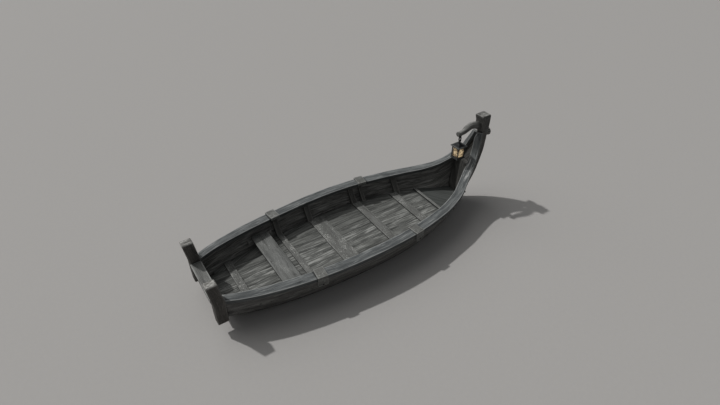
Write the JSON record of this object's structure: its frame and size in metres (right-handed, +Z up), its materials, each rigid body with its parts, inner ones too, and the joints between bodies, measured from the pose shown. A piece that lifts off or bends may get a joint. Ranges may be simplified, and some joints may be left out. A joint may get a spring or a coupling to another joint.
{
  "type": "wooden riverboat",
  "caption": "Open wooden riverboat with lapped planking, a raised curved stem with a hanging lantern, twin stern posts, a thwart and a planked floor.",
  "frame": {"origin": "under the middle of the overall length, on the centreline, at the flat bottom's underside", "axes": "+X towards the bow, +Y to port, +Z up"},
  "size_m": [5.272, 1.7848, 1.6],
  "materials": {
    "hull_wood": "weathered dark brown-grey planking, rough grain",
    "rail_wood": "weathered grey with a blue-green cast, worn lighter edges",
    "floor_wood": "mid-grey floor wood with bright worn streaks",
    "post_wood": "dark weathered posts with bright worn tops",
    "iron": "dark forged iron, dull",
    "glass": "warm yellowed lantern glass",
    "wax": "candle wax"
  },
  "bodies": {
    "hull": {"bottom_plank_centre": "hull_wood", "bottom_plank_port": "hull_wood", "bottom_plank_starboard": "hull_wood", "bow_sole": "floor_wood", "breasthook": "hull_wood", "floor_bearer_1": "hull_wood", "floor_bearer_2": "hull_wood", "floor_bearer_3": "hull_wood", "floor_plank_1": "floor_wood", "floor_plank_2": "floor_wood", "floor_plank_3": "floor_wood", "floor_plank_4": "floor_wood", "floor_plank_5": "floor_wood", "floor_plank_6": "floor_wood", "floor_plank_7": "floor_wood", "floor_rib_aft": "floor_wood", "floor_rib_forward": "floor_wood", "floor_rib_middle": "floor_wood", "floor_rib_stern": "floor_wood", "foot_board": "floor_wood", "lantern_arm": "post_wood", "rail_port": "rail_wood", "rail_starboard": "rail_wood", "saddle_aft_port": "post_wood", "saddle_aft_starboard": "post_wood", "saddle_forward_port": "post_wood", "saddle_forward_starboard": "post_wood", "side_rib_aft_port": "hull_wood", "side_rib_aft_starboard": "hull_wood", "side_rib_board_port": "hull_wood", "side_rib_board_starboard": "hull_wood", "side_rib_forward_port": "hull_wood", "side_rib_forward_starboard": "hull_wood", "side_rib_middle_port": "hull_wood", "side_rib_middle_starboard": "hull_wood", "side_rib_narrow_port": "hull_wood", "side_rib_narrow_starboard": "hull_wood", "sole_batten": "floor_wood", "stem": "post_wood", "stem_apron": "hull_wood", "stem_peg": "post_wood", "stern_post_port": "post_wood", "stern_post_starboard": "post_wood", "strake_lower_port": "hull_wood", "strake_lower_starboard": "hull_wood", "strake_middle_port": "hull_wood", "strake_middle_starboard": "hull_wood", "strake_upper_port": "hull_wood", "strake_upper_starboard": "hull_wood", "thwart": "floor_wood", "thwart_riser_port": "hull_wood", "thwart_riser_starboard": "hull_wood", "transom_board": "hull_wood", "transom_cap": "rail_wood"},
    "link": {"lantern_link": "iron"},
    "lantern": {"lantern_base": "iron", "lantern_cage": "iron", "lantern_glass": "glass", "lantern_candle": "wax", "lantern_roof": "iron"}
  },
  "joints": [
    {"name": "link_swing", "type": "hinge", "parent": "hull", "child": "link", "pos_m": [1.976, 0, 1.322], "axis": [0, 1, 0], "range_deg": [-10, 60]},
    {"name": "lantern_swing", "type": "hinge", "parent": "link", "child": "lantern", "pos_m": [1.976, 0, 1.2504], "axis": [1, 0, 0], "range_deg": [-30, 30]}
  ]
}
